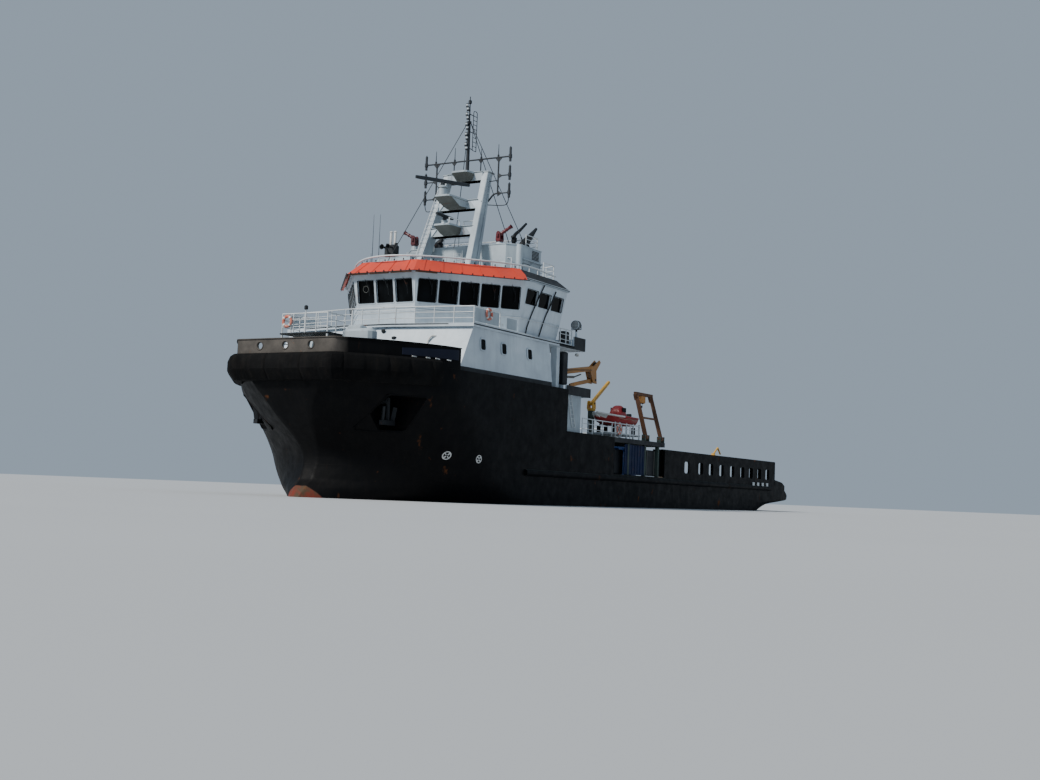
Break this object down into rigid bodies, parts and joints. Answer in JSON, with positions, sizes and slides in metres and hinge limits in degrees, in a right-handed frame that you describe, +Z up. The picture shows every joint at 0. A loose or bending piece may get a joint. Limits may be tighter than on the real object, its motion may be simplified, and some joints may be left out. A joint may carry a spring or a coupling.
{
  "type": "anchor-handling tug, 1:10 scale model",
  "caption": "Black-hulled anchor-handling tug with a white forward deckhouse, leaning wheelhouse, raked two-legged mast, towing winch and a long open working deck.",
  "frame": {"origin": "amidships on the centreline, at the waterline", "axes": "+X to the bow, +Y to port, +Z up"},
  "size_m": [6.312, 1.53, 3.16],
  "materials": {
    "hullBlack": "semi-matt",
    "fenderBlack": "matt",
    "houseWhite": "semi-gloss",
    "mastGrey": "semi-gloss",
    "visorOrange": "semi-gloss",
    "deckGreen": "matt",
    "glass": "clear",
    "darkSteel": "matt",
    "bronze": "bronze, satin",
    "monitorRed": "semi-gloss",
    "craneYellow": "semi-gloss",
    "davitOrange": "semi-gloss",
    "rustBrown": "matt, rusted",
    "boatRed": "semi-gloss",
    "winchBlue": "semi-gloss",
    "timber": "weathered",
    "railWhite": "semi-gloss",
    "antennaDark": "matt"
  },
  "bodies": {
    "ship": {"hull": "hullBlack", "bow_fender": "fenderBlack", "bow_bulwark": "hullBlack", "anchor_port": "darkSteel", "anchor_starboard": "darkSteel", "nozzle_port": "hullBlack", "nozzle_starboard": "hullBlack", "deckhouse": "houseWhite", "bridge_deck": "houseWhite", "wheelhouse_walls": "houseWhite", "wheelhouse_glazing": "glass", "bridge_console": "darkSteel", "wheelhouse_roof": "mastGrey", "sun_visor": "visorOrange", "exhaust_stack": "darkSteel", "mast": "mastGrey", "topmast": "antennaDark", "main_stays": "antennaDark", "windlass_frame": "mastGrey", "after_house": "houseWhite", "boat_deck": "deckGreen", "rescue_boat": "boatRed", "boat_cradle": "railWhite", "winch_frame": "winchBlue", "cargo_rail_port": "hullBlack", "cargo_rail_starboard": "hullBlack", "deck_sheathing": "timber", "casing_railing": "railWhite", "bridge_railing": "railWhite", "bow_platform": "railWhite", "boat_deck_railing_port": "railWhite", "boat_deck_railing_starboard": "railWhite"},
    "propeller_port": {"propeller_port": "bronze"},
    "rudder_port": {"rudder_port": "darkSteel"},
    "propeller_starboard": {"propeller_starboard": "bronze"},
    "rudder_starboard": {"rudder_starboard": "darkSteel"},
    "thruster_propeller_1": {"thruster_propeller_1": "bronze"},
    "thruster_propeller_2": {"thruster_propeller_2": "bronze"},
    "radar_scanner_large": {"radar_scanner_large": "antennaDark"},
    "radar_scanner_small": {"radar_scanner_small": "antennaDark"},
    "monitor_yoke_port": {"monitor_yoke_port": "monitorRed"},
    "monitor_barrel_port": {"monitor_barrel_port": "monitorRed"},
    "monitor_yoke_starboard": {"monitor_yoke_starboard": "monitorRed"},
    "monitor_barrel_starboard": {"monitor_barrel_starboard": "monitorRed"},
    "searchlight_port": {"searchlight_port": "darkSteel"},
    "searchlight_starboard": {"searchlight_starboard": "darkSteel"},
    "windlass_drums": {"windlass_drums": "mastGrey"},
    "davit_boom": {"davit_boom": "davitOrange"},
    "davit_jib": {"davit_jib": "davitOrange"},
    "crane_column": {"crane_column": "craneYellow"},
    "crane_boom": {"crane_boom": "craneYellow"},
    "boat_a_frame": {"boat_a_frame": "rustBrown"},
    "winch_drum_upper": {"winch_drum_upper": "darkSteel"},
    "winch_drum_lower": {"winch_drum_lower": "darkSteel"},
    "stern_roller": {"stern_roller": "darkSteel"},
    "towing_pin_port": {"towing_pin_port": "darkSteel"},
    "towing_pin_starboard": {"towing_pin_starboard": "darkSteel"},
    "rail_davit": {"rail_davit": "craneYellow"},
    "wheelhouse_door": {"wheelhouse_door": "houseWhite"},
    "after_house_door": {"after_house_door": "houseWhite"}
  },
  "joints": [
    {"name": "propeller_port_turn", "type": "hinge", "parent": "ship", "child": "propeller_port", "pos_m": [-2.43, 0.36, -0.23], "axis": [1, 0, 0], "continuous": true},
    {"name": "rudder_port_turn", "type": "hinge", "parent": "ship", "child": "rudder_port", "pos_m": [-2.6, 0.36, -0.2], "axis": [0, 0, 1], "range_deg": [-35, 35]},
    {"name": "propeller_starboard_turn", "type": "hinge", "parent": "ship", "child": "propeller_starboard", "pos_m": [-2.43, -0.36, -0.23], "axis": [1, 0, 0], "continuous": true},
    {"name": "rudder_starboard_turn", "type": "hinge", "parent": "ship", "child": "rudder_starboard", "pos_m": [-2.6, -0.36, -0.2], "axis": [0, 0, 1], "range_deg": [-35, 35]},
    {"name": "thruster_propeller_1_turn", "type": "hinge", "parent": "ship", "child": "thruster_propeller_1", "pos_m": [2.46, 0, -0.24], "axis": [0, 1, 0], "continuous": true},
    {"name": "thruster_propeller_2_turn", "type": "hinge", "parent": "ship", "child": "thruster_propeller_2", "pos_m": [2.13, 0, -0.24], "axis": [0, 1, 0], "continuous": true},
    {"name": "radar_scanner_large_turn", "type": "hinge", "parent": "ship", "child": "radar_scanner_large", "pos_m": [1.52, -0.02, 2.09], "axis": [0, 0, 1], "continuous": true},
    {"name": "radar_scanner_small_turn", "type": "hinge", "parent": "ship", "child": "radar_scanner_small", "pos_m": [1.51, 0, 1.855], "axis": [0, 0, 1], "continuous": true},
    {"name": "monitor_yoke_port_turn", "type": "hinge", "parent": "ship", "child": "monitor_yoke_port", "pos_m": [1.285, 0.295, 1.73], "axis": [0, 0, 1], "range_deg": [-170, 170]},
    {"name": "monitor_barrel_port_turn", "type": "hinge", "parent": "monitor_yoke_port", "child": "monitor_barrel_port", "pos_m": [1.285, 0.295, 1.775], "axis": [1, 0, 0], "range_deg": [-25, 40]},
    {"name": "monitor_yoke_starboard_turn", "type": "hinge", "parent": "ship", "child": "monitor_yoke_starboard", "pos_m": [1.285, -0.395, 1.745], "axis": [0, 0, 1], "range_deg": [-170, 170]},
    {"name": "monitor_barrel_starboard_turn", "type": "hinge", "parent": "monitor_yoke_starboard", "child": "monitor_barrel_starboard", "pos_m": [1.285, -0.395, 1.79], "axis": [-1, 0, 0], "range_deg": [-25, 40]},
    {"name": "searchlight_port_turn", "type": "hinge", "parent": "ship", "child": "searchlight_port", "pos_m": [0.83, 0.65, 1.18], "axis": [0, 0, 1], "range_deg": [-170, 170]},
    {"name": "searchlight_starboard_turn", "type": "hinge", "parent": "ship", "child": "searchlight_starboard", "pos_m": [0.83, -0.65, 1.18], "axis": [0, 0, 1], "range_deg": [-170, 170]},
    {"name": "windlass_drums_turn", "type": "hinge", "parent": "ship", "child": "windlass_drums", "pos_m": [2.56, 0, 0.9], "axis": [0, 1, 0], "continuous": true},
    {"name": "davit_boom_turn", "type": "hinge", "parent": "ship", "child": "davit_boom", "pos_m": [0.9, 0.56, 0.835], "axis": [0, 0, 1], "range_deg": [-110, 15]},
    {"name": "davit_jib_turn", "type": "hinge", "parent": "davit_boom", "child": "davit_jib", "pos_m": [0.4, 0.56, 0.885], "axis": [0, 1, 0], "range_deg": [0, 85]},
    {"name": "crane_column_turn", "type": "hinge", "parent": "ship", "child": "crane_column", "pos_m": [0.085, 0.39, 0.7], "axis": [0, 0, 1], "range_deg": [-75, 100]},
    {"name": "crane_boom_turn", "type": "hinge", "parent": "crane_column", "child": "crane_boom", "pos_m": [0.085, 0.39, 0.745], "axis": [0, 1, 0], "range_deg": [-5, 45]},
    {"name": "boat_a_frame_turn", "type": "hinge", "parent": "ship", "child": "boat_a_frame", "pos_m": [-0.275, 0.725, 0.516], "axis": [1, 0, 0], "range_deg": [-60, 0]},
    {"name": "winch_drum_upper_turn", "type": "hinge", "parent": "ship", "child": "winch_drum_upper", "pos_m": [-0.595, 0, 0.435], "axis": [0, 1, 0], "continuous": true},
    {"name": "winch_drum_lower_turn", "type": "hinge", "parent": "ship", "child": "winch_drum_lower", "pos_m": [-0.685, 0, 0.325], "axis": [0, 1, 0], "continuous": true},
    {"name": "stern_roller_turn", "type": "hinge", "parent": "ship", "child": "stern_roller", "pos_m": [-3.14, 0, 0.115], "axis": [0, 1, 0], "continuous": true},
    {"name": "towing_pin_port_rise", "type": "slide", "parent": "ship", "child": "towing_pin_port", "axis": [0, 0, 1], "range_m": [0, 0.12]},
    {"name": "towing_pin_starboard_rise", "type": "slide", "parent": "ship", "child": "towing_pin_starboard", "axis": [0, 0, 1], "range_m": [0, 0.12]},
    {"name": "rail_davit_turn", "type": "hinge", "parent": "ship", "child": "rail_davit", "pos_m": [-1.505, 0.69, 0.45], "axis": [0, 0, 1], "range_deg": [-90, 90]},
    {"name": "wheelhouse_door_hinge", "type": "hinge", "parent": "ship", "child": "wheelhouse_door", "pos_m": [1.01092, 0.036, 1.18], "axis": [0.1676, 0, -0.9859], "range_deg": [0, 95]},
    {"name": "after_house_door_hinge", "type": "hinge", "parent": "ship", "child": "after_house_door", "pos_m": [0.837, 0.194, 0.6], "axis": [0, 0, -1], "range_deg": [0, 110]}
  ]
}
